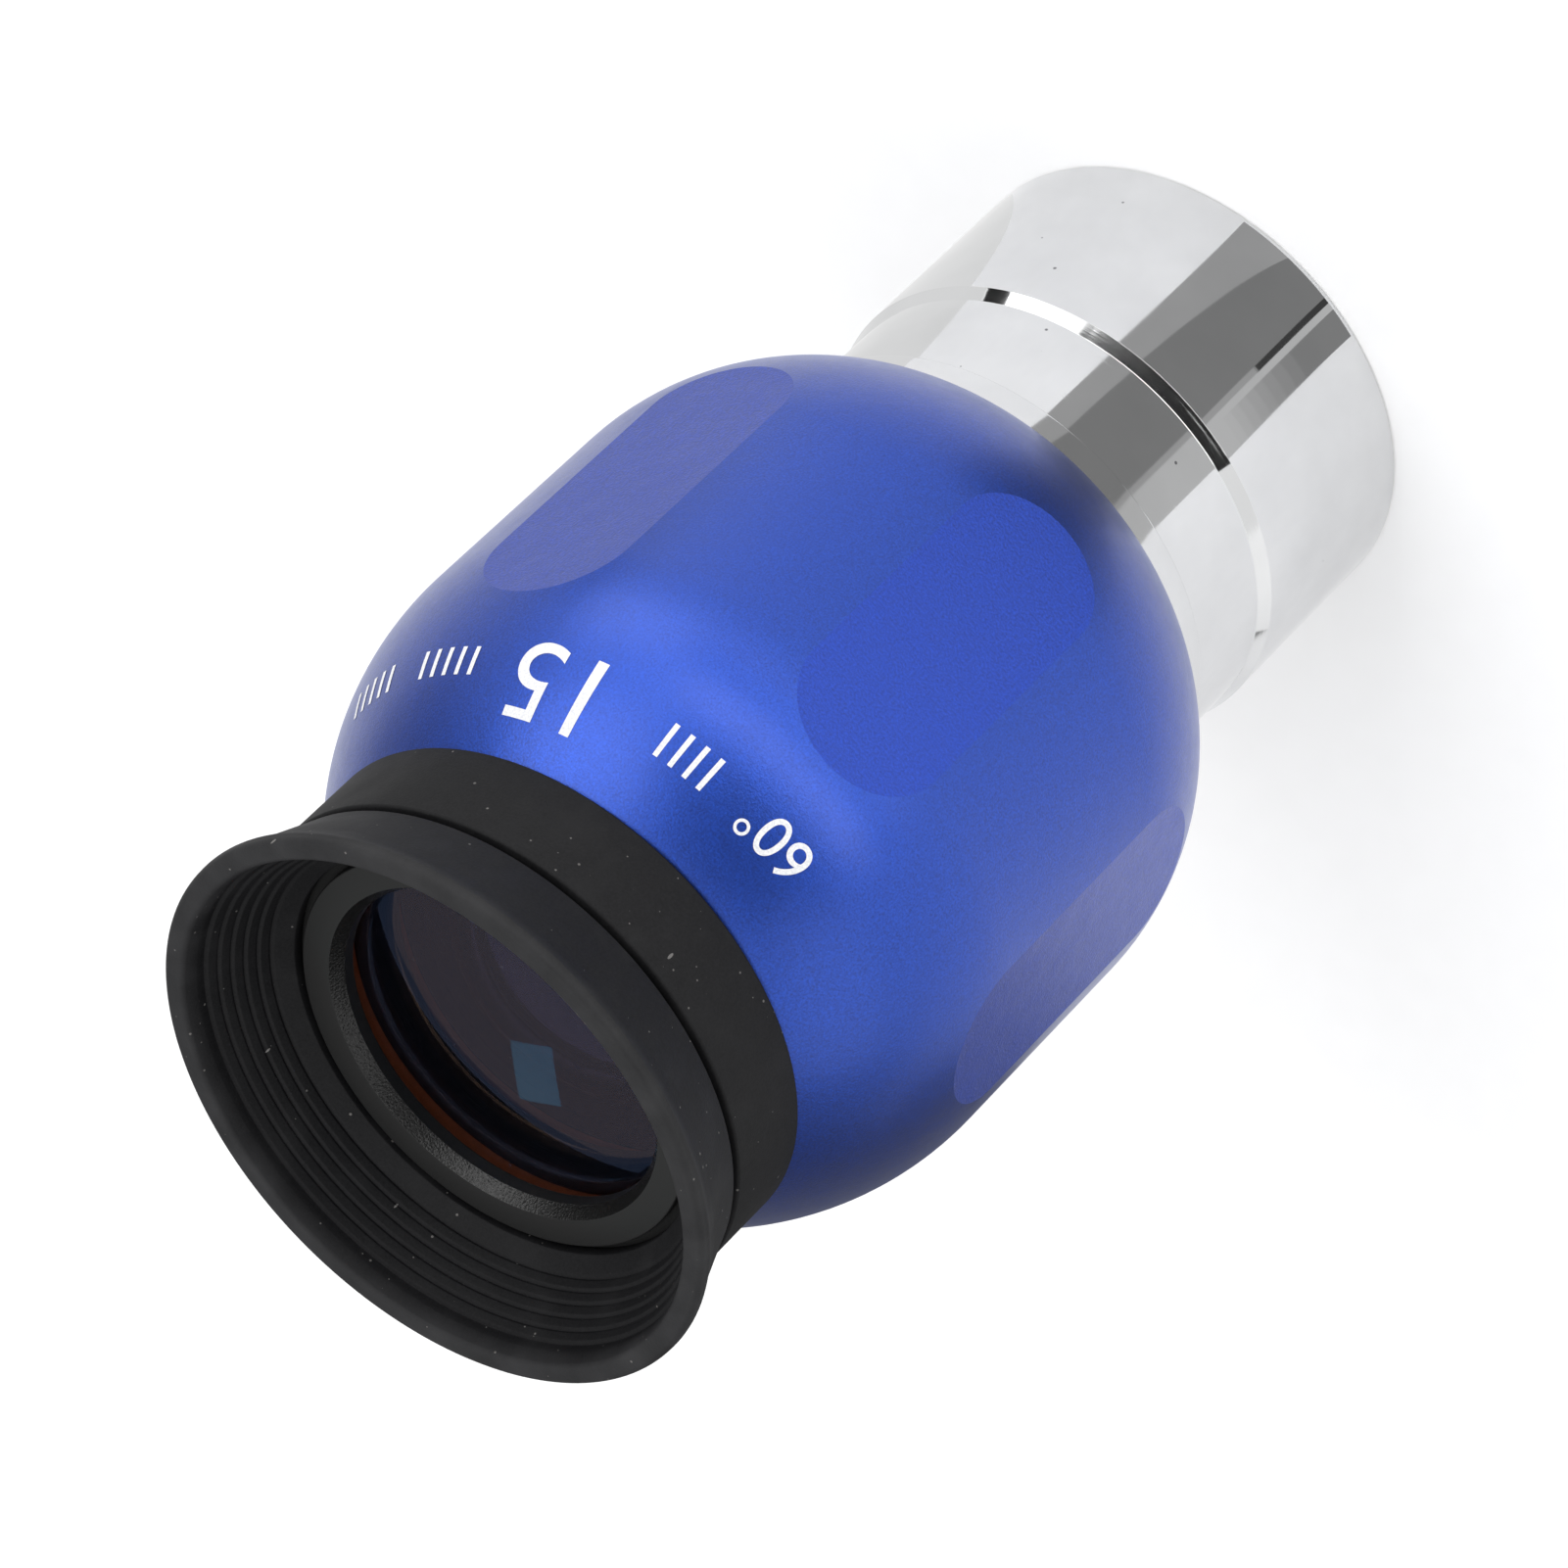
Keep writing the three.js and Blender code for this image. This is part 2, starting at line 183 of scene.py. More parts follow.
def rounded_corner(before, corner, after, radius):
    """The points that round a corner off with the given radius."""
    here = Vector(corner)
    to_before = (Vector(before) - here).normalized()
    to_after = (Vector(after) - here).normalized()
    half = to_before.angle(to_after) / 2
    if radius == 0 or math.pi - 2 * half < ARC_STEP / 4:
        return [tuple(here)]
    centre = here + (to_before + to_after).normalized() * radius / math.sin(half)
    start = here + to_before * radius / math.tan(half) - centre
    turn = math.pi - 2 * half
    if to_before.x * to_after.y - to_before.y * to_after.x > 0:
        turn = -turn
    steps = max(1, math.ceil(abs(turn) / ARC_STEP))
    points = []
    for i in range(steps + 1):
        angle = turn * i / steps
        spun = Vector((
            start.x * math.cos(angle) - start.y * math.sin(angle),
            start.x * math.sin(angle) + start.y * math.cos(angle),
        ))
        points.append(tuple(centre + spun))
    return points


def outline(corners):
    """A closed outline from (r, z), (r, z, rounding) or (r, z, rounding, finish) corners, taken
    anticlockwise. Returns its points, and the finish of the surface that starts at each one."""
    points = []
    finishes = []
    for i, corner in enumerate(corners):
        radius = corner[2] if len(corner) > 2 else 0
        finish = corner[3] if len(corner) > 3 else 0
        before = corners[i - 1][:2]
        after = corners[(i + 1) % len(corners)][:2]
        for point in rounded_corner(before, corner[:2], after, radius):
            points.append(point)
            finishes.append(finish)
    return points, finishes


def new_piece(name, points, faces, finishes, materials, sharp_angle=SHARP_ANGLE):
    """A smooth-shaded mesh object from points in millimetres."""
    mesh = bpy.data.meshes.new(name)
    mesh.from_pydata([tuple(c * MM for c in p) for p in points], [], faces)
    for material in materials:
        mesh.materials.append(material)
    mesh.polygons.foreach_set("material_index", finishes)
    mesh.polygons.foreach_set("use_smooth", [True] * len(faces))
    mesh.set_sharp_from_angle(angle=sharp_angle)
    mesh.validate()
    piece = bpy.data.objects.new(name, mesh)
    bpy.context.scene.collection.objects.link(piece)
    return piece


def turned(name, corners, materials):
    """Revolves an outline about the axis. Its first and last corners may lie on the axis."""
    profile, profile_finishes = outline(corners)
    count = len(profile)
    on_axis = [r < 1e-6 for r, _ in profile]
    points = []
    first = []
    for j, (r, z) in enumerate(profile):
        first.append(len(points))
        for k in range(1 if on_axis[j] else SEGMENTS):
            angle = 2 * math.pi * k / SEGMENTS
            points.append((r * math.cos(angle), r * math.sin(angle), z))
    faces = []
    finishes = []
    for j in range(count):
        after = (j + 1) % count
        if on_axis[j] and on_axis[after]:
            continue
        for k in range(SEGMENTS):
            ring = [
                first[j] + (0 if on_axis[j] else k),
                first[j] + (0 if on_axis[j] else (k + 1) % SEGMENTS),
                first[after] + (0 if on_axis[after] else (k + 1) % SEGMENTS),
                first[after] + (0 if on_axis[after] else k),
            ]
            faces.append(list(dict.fromkeys(ring)))
            finishes.append(profile_finishes[j])
    return new_piece(name, points, faces, finishes, materials)


def tube(inner_r, outer_r, low_z, high_z, rounding=0.12):
    """Outline of a washer or tube."""
    return [
        (inner_r, low_z, rounding),
        (outer_r, low_z, rounding),
        (outer_r, high_z, rounding),
        (inner_r, high_z, rounding),
    ]


def lens_outline(bottom, top, edge_r, steps=24):
    """Outline of a lens with polished faces, finish 0, and a ground edge, finish 1. A face that is
    cemented to its neighbour has finish 2."""
    lower = []
    upper = []
    for i in range(steps + 1):
        r = edge_r * i / steps
        for side, (vertex_z, curve) in ((lower, bottom), (upper, top)):
            sag = abs(curve) - math.sqrt(curve * curve - r * r)
            face = 2 if curve in CEMENTED_CURVES else 0
            side.append((r, vertex_z - math.copysign(sag, curve), 0, face))
    lower[-1] = lower[-1][:2] + (0, 1)
    return lower + upper[::-1]


def add_thread(piece, core_r, depth, pitch, start_z, turns):
    """Winds a right-handed ridge round a core. A negative depth points it inwards. The ridge starts
    and ends by sinking into the core over a quarter of a turn."""
    foot = pitch * THREAD_FOOT
    crest = pitch * THREAD_CREST
    sunk = -math.copysign(THREAD_SINK, depth)
    steps = round(turns * SEGMENTS / 2)
    fade = SEGMENTS / 8
    bm = bmesh.new()
    bm.from_mesh(piece.data)
    before = None
    for i in range(steps + 1):
        angle = 4 * math.pi * i / SEGMENTS
        share = min(1, i / fade, (steps - i) / fade)
        height = sunk * 0.5 + (depth - sunk * 0.5) * share
        z = start_z + pitch * angle / (2 * math.pi)
        section = []
        for r, dz in (
            (core_r + sunk, -foot),
            (core_r + height, -crest),
            (core_r + height, crest),
            (core_r + sunk, foot),
        ):
            place = Vector((r * math.cos(angle), r * math.sin(angle), z + dz)) * MM
            section.append(bm.verts.new(place))
        if before is None:
            bm.faces.new(section if depth > 0 else section[::-1])
        else:
            for a in range(4):
                b = (a + 1) % 4
                ring = [before[a], section[a], section[b], before[b]]
                face = bm.faces.new(ring if depth > 0 else ring[::-1])
                face.smooth = True
        before = section
    bm.faces.new(before[::-1] if depth > 0 else before)
    bm.to_mesh(piece.data)
    bm.free()
    piece.data.set_sharp_from_angle(angle=SHARP_ANGLE)


# ---------------------------------------------------------------- materials


class Look:
    """A Principled material, and helpers that feed it noise."""

    def __init__(self, name, **sockets):
        self.material = bpy.data.materials.new(name)
        self.material.use_nodes = True
        self.nodes = self.material.node_tree.nodes
        self.links = self.material.node_tree.links
        self.shader = self.nodes["Principled BSDF"]
        for socket, value in sockets.items():
            self.shader.inputs[socket.replace("_", " ")].default_value = value
        self.place = self.nodes.new("ShaderNodeTexCoord").outputs["Object"]

    def add(self, kind, inputs, **settings):
        """A new node. Inputs are numbers, colours or other nodes' outputs."""
        node = self.nodes.new(kind)
        for key, value in settings.items():
            setattr(node, key, value)
        for key, value in inputs.items():
            if isinstance(value, bpy.types.NodeSocket):
                self.links.new(value, node.inputs[key])
            else:
                node.inputs[key].default_value = value
        return node

    def feed(self, socket, output):
        self.links.new(output, self.shader.inputs[socket])

    def noise(self, size, detail=2.0, stretch=(1, 1, 1), place=None, roughness=0.5):
        """Noise whose features are about `size` millimetres across."""
        mapped = self.add(
            "ShaderNodeMapping", {"Vector": place or self.place, "Scale": stretch}
        )
        texture = self.add(
            "ShaderNodeTexNoise",
            {
                "Vector": mapped.outputs["Vector"],
                "Scale": 1 / (size * MM),
                "Detail": detail,
                "Roughness": roughness,
            },
        )
        return texture.outputs["Fac"]

    def cylinder(self):
        """Coordinates that unroll the round surface: angle, distance from the axis, height."""
        split = self.add("ShaderNodeSeparateXYZ", {"Vector": self.place})
        x, y, z = (split.outputs[axis] for axis in "XYZ")
        angle = self.add("ShaderNodeMath", {0: y, 1: x}, operation="ARCTAN2").outputs[0]
        xx = self.add("ShaderNodeMath", {0: x, 1: x}, operation="MULTIPLY").outputs[0]
        rr = self.add("ShaderNodeMath", {0: y, 1: y, 2: xx}, operation="MULTIPLY_ADD").outputs[0]
        radius = self.add("ShaderNodeMath", {0: rr}, operation="SQRT").outputs[0]
        joined = self.add("ShaderNodeCombineXYZ", {"X": angle, "Y": radius, "Z": z})
        return joined.outputs["Vector"]

    def remap(self, value, low, high, to_low=0.0, to_high=1.0, smooth=False):
        """Takes low..high to to_low..to_high, and holds it there beyond."""
        node = self.add(
            "ShaderNodeMapRange",
            {
                "Value": value,
                "From Min": low,
                "From Max": high,
                "To Min": to_low,
                "To Max": to_high,
            },
            interpolation_type="SMOOTHSTEP" if smooth else "LINEAR",
        )
        return node.outputs["Result"]

    def mix(self, share, first, second):
        """A colour between two colours."""
        node = self.add(
            "ShaderNodeMix", {"Factor": share}, data_type="RGBA", clamp_factor=True
        )
        for key, value in ((6, first), (7, second)):
            if isinstance(value, bpy.types.NodeSocket):
                self.links.new(value, node.inputs[key])
            else:
                node.inputs[key].default_value = (*value, 1)
        return node.outputs[2]

    def bump(self, height, depth, strength=1.0, below=None):
        """A bump of `depth` millimetres, on top of another bump if one is given."""
        inputs = {"Height": height, "Distance": depth * MM, "Strength": strength}
        if below is not None:
            inputs["Normal"] = below
        return self.add("ShaderNodeBump", inputs).outputs["Normal"]

    def specks(self, spacing, size, seed_offset=0.0, place=None):
        """Small round specks, 1 inside and 0 outside, scattered about `spacing` millimetres apart."""
        moved = self.add(
            "ShaderNodeMapping",
            {"Vector": place or self.place, "Location": (seed_offset, 0, 0)},
        )
        cells = self.add(
            "ShaderNodeTexVoronoi",
            {"Vector": moved.outputs["Vector"], "Scale": 1 / (spacing * MM), "Randomness": 1.0},
        )
        chosen = self.add("ShaderNodeSeparateColor", {"Color": cells.outputs["Color"]})
        radius = self.remap(chosen.outputs["Red"], 0.55, 1.0, 0.0, size / spacing)
        inside = self.add(
            "ShaderNodeMath", {0: cells.outputs["Distance"], 1: radius}, operation="LESS_THAN"
        )
        return inside.outputs[0]


def scaled(color, factor):
    return tuple(c * factor for c in color)


def anodised_blue(name, grain, depth, color, roughness):
    """Bead-blasted aluminium under a dyed oxide."""
    look = Look(name, Metallic=1.0, Coat_Weight=0.75, Coat_Roughness=0.32, Coat_IOR=1.5)
    fine = look.noise(grain, detail=3)
    coarse = look.noise(grain * 9, detail=2)
    cloud = look.noise(14, detail=2)
    shade = look.remap(fine, 0.3, 0.7)
    tone = look.mix(shade, scaled(color, 0.68), scaled(color, 1.32))
    tone = look.mix(look.remap(cloud, 0.35, 0.65, 0.0, 0.35), tone, scaled(color, 0.93))
    look.feed("Base Color", tone)
    look.feed("Roughness", look.remap(coarse, 0.3, 0.7, roughness - 0.03, roughness + 0.03))
    grainy = look.bump(fine, depth)
    look.feed("Normal", look.bump(coarse, depth * 1.2, below=grainy))
    return look.material


def chrome_plate():
    """Mirror chrome over fine turning marks, with handling scratches and a few specks."""
    look = Look("chrome_plate", Metallic=1.0)
    round_place = look.cylinder()
    turning = look.noise(0.12, detail=2, stretch=(0.0006, 0.0, 1.0), place=round_place)
    ripple = look.noise(5.0, detail=1)
    scratches = look.noise(0.5, detail=4, stretch=(0.02, 0.02, 1.0), roughness=0.7)
    smear = look.noise(6.0, detail=3)
    pits = look.specks(spacing=2.2, size=0.12)
    tone = look.mix(
        look.remap(smear, 0.35, 0.7), (0.70, 0.705, 0.71), (0.65, 0.655, 0.66)
    )
    look.feed("Base Color", look.mix(pits, tone, (0.22, 0.22, 0.23)))
    sheen = look.remap(smear, 0.4, 0.75, 0.045, 0.10)
    rough = look.add(
        "ShaderNodeMath",
        {0: look.remap(scratches, 0.62, 0.75, 0.0, 0.12), 1: sheen},
        operation="ADD",
    )
    look.feed("Roughness", rough.outputs[0])
    waves = look.bump(ripple, 0.012)
    lines = look.bump(turning, 0.0006, below=waves)
    look.feed("Normal", look.bump(pits, 0.01, below=lines))
    return look.material


def black_anodised(name, value, roughness, grain, depth, turning_depth=0.0, metallic=0.2):
    """Black dyed aluminium, blasted or left with its turning marks."""
    look = Look(name, Metallic=metallic, Specular_IOR_Level=0.3)
    fine = look.noise(grain, detail=3)
    look.feed(
        "Base Color",
        look.mix(look.remap(fine, 0.3, 0.7), (value * 0.7,) * 3, (value * 1.35,) * 3),
    )
    look.feed("Roughness", look.remap(fine, 0.25, 0.75, roughness - 0.05, roughness + 0.05))
    normal = look.bump(fine, depth)
    if turning_depth:
        round_place = look.cylinder()
        marks = look.noise(0.1, detail=1, stretch=(0.0005, 1.0, 1.0), place=round_place)
        normal = look.bump(marks, turning_depth, below=normal)
    look.feed("Normal", normal)
    return look.material


def eyecup_rubber():
    """Matte moulded rubber with a fine skin, dust, a greyer bloom, and a painted highlight towards the
    lip.
    """
    look = Look("eyecup_rubber", Specular_IOR_Level=0.15)
    skin = look.noise(0.16, detail=3)
    bloom = look.noise(3.0, detail=4)
    dust = look.specks(spacing=0.7, size=0.085, seed_offset=0.3)
    drawn = look.add("ShaderNodeMapping", {"Vector": look.place, "Scale": (1.0, 0.14, 0.35)})
    lint = look.specks(spacing=1.3, size=0.09, seed_offset=0.7, place=drawn.outputs["Vector"])
    # Painted highlight: the base colour grows lighter over the last millimetre up to the lip, broken
    # up by the bloom noise.
    height = look.add("ShaderNodeSeparateXYZ", {"Vector": look.place}).outputs["Z"]
    lip_highlight = look.remap(height, (LIP_HIGHLIGHT_Z - 1) * MM, LIP_HIGHLIGHT_Z * MM)
    lip_highlight = look.add("ShaderNodeMath", {0: lip_highlight, 1: bloom}, operation="MULTIPLY").outputs[0]
    tone = look.mix(look.remap(skin, 0.3, 0.7), (0.005, 0.005, 0.0057), (0.009, 0.009, 0.010))
    tone = look.mix(look.remap(bloom, 0.5, 0.75, 0.0, 0.5), tone, (0.016, 0.016, 0.017))
    tone = look.mix(lip_highlight, tone, (0.038, 0.038, 0.040))
    tone = look.mix(look.remap(dust, 0, 1, 0.0, 0.5), tone, (0.24, 0.23, 0.22))
    look.feed("Base Color", look.mix(look.remap(lint, 0, 1, 0.0, 0.5), tone, (0.30, 0.29, 0.28)))
    look.feed("Roughness", look.remap(bloom, 0.3, 0.7, 0.55, 0.66))
    normal = look.bump(skin, 0.012)
    look.feed("Normal", look.bump(bloom, 0.02, below=normal))
    return look.material


def lens_glass(name, tint, index, film, film_index):
    """Polished glass with an anti-reflection film, whose thickness in nanometres sets its colour."""
    look = Look(
        name,
        Base_Color=(*tint, 1),
        Transmission_Weight=1.0,
        IOR=index,
        Thin_Film_Thickness=film,
        Thin_Film_IOR=film_index,
    )
    smear = look.noise(4.0, detail=3)
    dust = look.specks(spacing=2.4, size=0.10, seed_offset=0.2)
    clean = look.remap(smear, 0.45, 0.8, 0.0, 0.035)
    rough = look.add(
        "ShaderNodeMath", {0: look.remap(dust, 0, 1, 0.0, 0.5), 1: clean}, operation="ADD"
    )
    look.feed("Roughness", rough.outputs[0])
    return look.material


def clear_cement():
    """The face where two lenses are cemented, which neither bends nor reflects light."""
    return Look("clear_cement", Transmission_Weight=1.0, IOR=1.0, Roughness=0.0).material


def ground_edge_and_glow():
    """The ground rim of a lens: brown edge paint, and a painted glow for the light that reaches the
    rim through the glass.
    """
    look = Look(
        "ground_lens_edge_and_glow",
        Roughness=0.6,
        Specular_IOR_Level=0.05,
        # Painted glow: a faint brown emission that stands in for light reaching the rim through the
        # glass.
        Emission_Color=(0.16, 0.045, 0.018, 1),
        Emission_Strength=0.03,
    )
    grain = look.noise(0.1, detail=3)
    look.feed(
        "Base Color",
        look.mix(look.remap(grain, 0.3, 0.7), (0.10, 0.030, 0.012), (0.18, 0.055, 0.020)),
    )
    look.feed("Normal", look.bump(grain, 0.01))
    return look.material


def printed_white():
    """Pad-printed white ink with a slightly ragged, thin film."""
    look = Look("printed_white")
    grain = look.noise(0.12, detail=3)
    look.feed(
        "Base Color",
        look.mix(look.remap(grain, 0.35, 0.65), (0.70, 0.71, 0.75), (0.88, 0.88, 0.88)),
    )
    look.feed("Roughness", look.remap(grain, 0.3, 0.7, 0.45, 0.6))
    look.feed("Normal", look.bump(grain, 0.008))
    return look.material


def pale_floor():
    look = Look("pale_floor", Roughness=0.9, Emission_Color=(1, 1, 1, 1), Emission_Strength=0.1)
    grain = look.noise(2.0, detail=2)
    look.feed(
        "Base Color",
        look.mix(look.remap(grain, 0.3, 0.7), (0.90, 0.90, 0.90), (0.92, 0.92, 0.92)),
    )
    return look.material


blue_blasted = anodised_blue(
    "anodised_blue", grain=0.13, depth=0.024, color=(0.006, 0.049, 0.355), roughness=0.38
)
blue_flat = anodised_blue(
    "anodised_blue_flat", grain=0.17, depth=0.050, color=(0.007, 0.048, 0.39), roughness=0.48
)
chrome = chrome_plate()
satin_black = black_anodised(
    "satin_black", value=0.012, roughness=0.42, grain=0.09, depth=0.004, turning_depth=0.002
)
blasted_black = black_anodised(
    "blasted_black", value=0.032, roughness=0.20, grain=0.14, depth=0.05, metallic=0.8
)
# Black for the cells, spacers and bores, also used as painted shade on the body's neck.
baffle_and_painted_shade_black = black_anodised(
    "baffle_and_painted_shade_black", value=0.005, roughness=0.65, grain=0.10, depth=0.008, turning_depth=0.02
)
rubber = eyecup_rubber()
eye_glass = lens_glass("eye_glass", tint=(0.93, 0.86, 0.97), index=1.62, film=147, film_index=1.35)
inner_glass = lens_glass(
    "inner_glass", tint=(0.93, 0.93, 0.97), index=1.60, film=147, film_index=1.30
)
# Brown edge paint with a painted glow on the lens rims.
edge_paint_and_glow = ground_edge_and_glow()
cement = clear_cement()
ink = printed_white()


def put_on_body(piece, body, slot_name, *nodes):
    """Puts a piece on its body in place of its CAD nodes."""
    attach(piece, body)
    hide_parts(*nodes)


# ---------------------------------------------------------------- barrel


def add_barrel():
    radius, bottom, top = reach("barrel")
    thread_root = BARREL_THREAD_R - BARREL_THREAD_DEPTH
    inside = 1
    piece = turned(
        "chrome_barrel",
        [
            (FILTER_LEAD_IN_R, bottom, 0.05),
            (radius, bottom, 0.3),
            (radius, UNDERCUT_START_Z, 0.08),
            (UNDERCUT_R, UNDERCUT_CONE_Z, 0.2),
            (UNDERCUT_R, COLLAR_BOTTOM_Z - RELIEF_DEPTH, 0.02),
            (UNDERCUT_R - RELIEF_DEPTH, COLLAR_BOTTOM_Z - RELIEF_DEPTH, 0.02),
            (UNDERCUT_R - RELIEF_DEPTH, COLLAR_BOTTOM_Z, 0.02),
            (radius, COLLAR_BOTTOM_Z, 0.18),
            (radius, COLLAR_TOP_Z, 0.12),
            (thread_root, COLLAR_TOP_Z, 0.1),
            (thread_root, top, 0.25),
            (BARREL_BORE_R, top, 0.15, inside),
            (BARREL_BORE_R, BARREL_LIP_Z[1], 0, inside),
            (BARREL_LIP_R, BARREL_LIP_Z[1], 0.1, inside),
            (BARREL_LIP_R, BARREL_LIP_Z[0], 0.1, inside),
            (BARREL_MOUTH_R, BARREL_LIP_Z[0], 0, inside),
            (BARREL_MOUTH_R, FILTER_THREAD_TOP_Z, 0.1, 0),
            (FILTER_THREAD_R, FILTER_THREAD_TOP_Z, 0),
        ],
        [chrome, baffle_and_painted_shade_black],
    )
    add_thread(
        piece,
        thread_root,
        BARREL_THREAD_DEPTH,
        BARREL_THREAD_PITCH,
        BARREL_THREAD_Z,
        BARREL_THREAD_TURNS,
    )
    add_thread(
        piece,
        FILTER_THREAD_R,
        -FILTER_THREAD_DEPTH,
        FILTER_THREAD_PITCH,
        FILTER_THREAD_Z,
        FILTER_THREAD_TURNS,
    )
    put_on_body(piece, "barrel", "chrome_plate", "barrel")


# ---------------------------------------------------------------- body shell


# How finely the shell is divided: across a flat and the round gap beside it, and along a shoulder
# and the wall. The flats meet the round surface at a low angle, which still shows as an edge.
FLAT_COLUMNS = 28
GAP_COLUMNS = 18
SHOULDER_ROWS = 26
WALL_ROWS = 10
FLAT_SHARP_ANGLE = math.radians(11)


def shell_shape():
    """Outer radius of the body, and the distance of its flats from the axis."""
    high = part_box("body_shell")[1]
    return high.x / MM, high.y / MM


def shoulder(angle, upper, radius):
    """Point of a shoulder arc at an angle above (upper) or below the cylinder."""
    arc_r, arc_z = (UPPER_ARC_R, UPPER_ARC_Z) if upper else (LOWER_ARC_R, LOWER_ARC_Z)
    return radius - arc_r + arc_r * math.cos(angle), arc_z + arc_r * math.sin(angle)


def shell_column(offset, radius, flat_distance, bottom):
    """Outer outline of the shell at an angular offset from the nearest flat's middle, upwards. The
    flat replaces the round surface wherever that would stand proud of it."""
    wall = min(radius, flat_distance / math.cos(offset))
    low_end = math.acos((wall - radius + LOWER_ARC_R) / LOWER_ARC_R)
    high_start = math.acos((wall - radius + UPPER_ARC_R) / UPPER_ARC_R)
    start = math.asin((bottom - LOWER_ARC_Z) / LOWER_ARC_R)
    end = math.asin((BODY_TOP_Z - UPPER_ARC_Z) / UPPER_ARC_R)
    points = []
    for i in range(SHOULDER_ROWS + 1):
        angle = start + (-low_end - start) * i / SHOULDER_ROWS
        points.append(shoulder(angle, False, radius))
    wall_low = points[-1][1]
    wall_high = shoulder(high_start, True, radius)[1]
    for i in range(1, WALL_ROWS):
        points.append((wall, wall_low + (wall_high - wall_low) * i / WALL_ROWS))
    for i in range(SHOULDER_ROWS + 1):
        angle = high_start + (end - high_start) * i / SHOULDER_ROWS
        points.append(shoulder(angle, True, radius))
    return points


def add_body_shell():
    radius, flat_distance = shell_shape()
    _, bottom, top = reach("body_shell")
    half = math.acos(flat_distance / radius)
    pitch = 2 * math.pi / FLAT_COUNT
    columns = []
    for flat in range(FLAT_COUNT):
        middle = FIRST_FLAT_ANGLE + flat * pitch
        for i in range(FLAT_COLUMNS):
            offset = half * math.sin(math.pi * (i / FLAT_COLUMNS - 0.5))
            columns.append((middle + offset, offset, True))
        for i in range(GAP_COLUMNS):
            offset = half + (pitch - 2 * half) * i / GAP_COLUMNS
            columns.append((middle + offset, half, False))
    # Finish 2 is black. On the neck it is painted shade for the deep gap between the eyecup and the
    # retaining ring; the same black goes on down the bore.
    inside = 2
    inner, inner_finishes = outline(
        [
            (NECK_R, BODY_TOP_Z, 0.05, inside),
            (NECK_R, NECK_GROOVE_Z[0], 0, inside),
            (NECK_GROOVE_R, NECK_GROOVE_Z[0], 0, inside),
            (NECK_GROOVE_R, NECK_GROOVE_Z[1], 0, inside),
            (NECK_R, NECK_GROOVE_Z[1], 0, inside),
            (NECK_R, top, 0.15, inside),
            (BODY_BORE_R, top, 0.1, inside),
            (BODY_BORE_R, CELL_SEAT_Z, 0, inside),
            (BODY_INNER_FLANGE_R, CELL_SEAT_Z, 0.1, inside),
            (BODY_INNER_FLANGE_R, BODY_THREAD_TOP_Z, 0.1, 0),
            (BODY_THREAD_R, BODY_THREAD_TOP_Z),
            (BODY_THREAD_R, COLLAR_SEAT_Z, 0.05),
            (COLLAR_SEAT_R, COLLAR_SEAT_Z),
            (COLLAR_SEAT_R, bottom),
        ]
    )
    wall_rows = range(SHOULDER_ROWS, SHOULDER_ROWS + WALL_ROWS)
    points = []
    for angle, offset, _ in columns:
        for r, z in shell_column(offset, radius, flat_distance, bottom) + inner:
            points.append((r * math.cos(angle), r * math.sin(angle), z))
    rows = len(points) // len(columns)
    outer_rows = 2 * SHOULDER_ROWS + WALL_ROWS
    faces = []
    finishes = []
    for k, (_, _, on_flat) in enumerate(columns):
        here = k * rows
        there = (k + 1) % len(columns) * rows
        for j in range(rows):
            after = (j + 1) % rows
            faces.append((here + j, there + j, there + after, here + after))
            if j > outer_rows:
                finishes.append(inner_finishes[j - outer_rows - 1])
            else:
                finishes.append(1 if on_flat and j in wall_rows else 0)
    piece = new_piece(
        "blue_body", points, faces, finishes, [blue_blasted, blue_flat, baffle_and_painted_shade_black], FLAT_SHARP_ANGLE
    )
    put_on_body(piece, "body", "anodised_body", "body_shell")


# ---------------------------------------------------------------- eyecup


